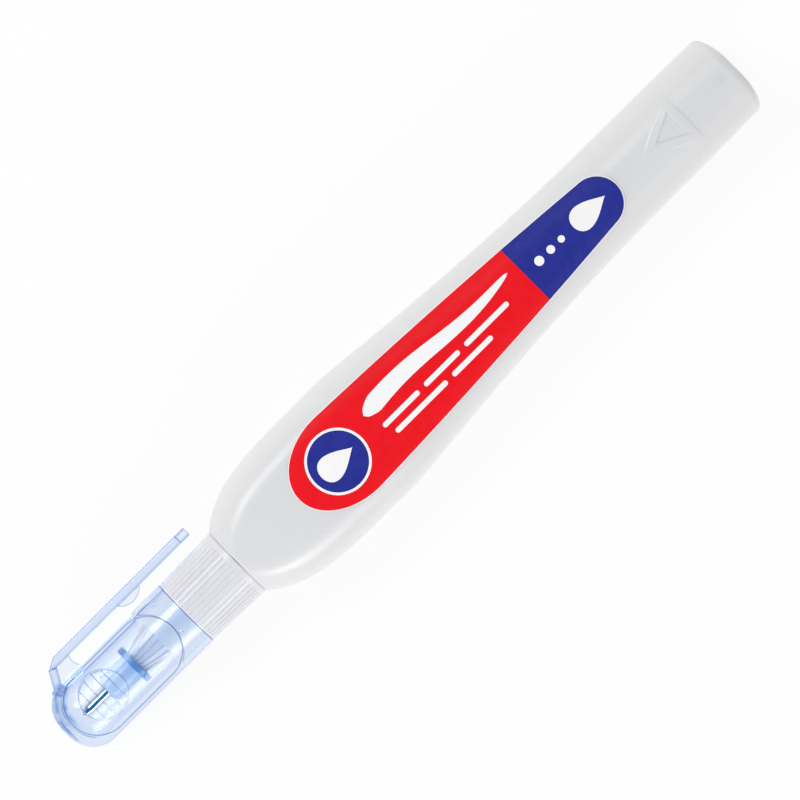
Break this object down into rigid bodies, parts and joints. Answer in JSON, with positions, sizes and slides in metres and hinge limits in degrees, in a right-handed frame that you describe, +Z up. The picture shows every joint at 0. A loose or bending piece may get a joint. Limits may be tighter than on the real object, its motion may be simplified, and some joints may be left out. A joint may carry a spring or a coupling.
{
  "type": "correction pen",
  "caption": "Squeeze-bottle correction pen with a sprung needle valve tip, a ribbed screw collar, a translucent push-on cap and a flexible pocket clip.",
  "frame": {"origin": "centre of the pen's box on the surface that it lies on", "axes": "+X from the cap's tip to the tail, +Y towards the clip, +Z up out of the label face"},
  "size_m": [0.14, 0.0212, 0.0137],
  "materials": {
    "bottle_plastic": "soft satin white polyethylene",
    "label_film": "printed film, red and blue with plain white shapes",
    "white_plastic": "glossy white moulding",
    "seal_rubber": "matt washer",
    "steel": "bright stainless steel",
    "valve_brass": "turned brass",
    "cap_plastic": "translucent light blue moulding"
  },
  "bodies": {
    "bottle": {"bottle": "bottle_plastic", "front_label": "label_film", "neck_seal": "seal_rubber"},
    "nozzle": {"nozzle": "white_plastic", "metal_tip": "steel", "valve_spring": "steel", "spring_retainer": "white_plastic"},
    "collar": {"collar": "white_plastic"},
    "needle": {"valve_needle": "steel", "valve_plunger": "valve_brass"},
    "ball": {"mixing_ball": "steel"},
    "cap": {"cap": "cap_plastic"},
    "clip": {"clip": "cap_plastic"}
  },
  "joints": [
    {"name": "nozzle_lift", "type": "slide", "parent": "bottle", "child": "nozzle", "axis": [-1, 0, 0], "range_m": [0, 0.006]},
    {"name": "collar_turn", "type": "hinge", "parent": "nozzle", "child": "collar", "pos_m": [-0.0394, 0, 0.0067], "axis": [-1, 0, 0], "range_deg": [0, 1080]},
    {"name": "needle_press", "type": "slide", "parent": "nozzle", "child": "needle", "axis": [1, 0, 0], "range_m": [0, 0.0005], "stiffness_N_per_m": 400, "springref_m": -0.001, "deforming": ["valve_spring"]},
    {"name": "ball_roll", "type": "slide", "parent": "bottle", "child": "ball", "axis": [-1, 0, 0], "range_m": [0, 0.085]},
    {"name": "cap_pull", "type": "slide", "parent": "nozzle", "child": "cap", "axis": [-1, 0, 0], "range_m": [0, 0.03]},
    {"name": "clip_flex", "type": "hinge", "parent": "cap", "child": "clip", "pos_m": [-0.067, 0.0053, 0.0067], "axis": [0, 0, 1], "range_deg": [0, 6], "stiffness_Nm_per_rad": 0.6}
  ],
  "couplings": [
    {"joint": "collar_turn", "follows": "nozzle_lift", "rad_per_m": 3141.6}
  ]
}
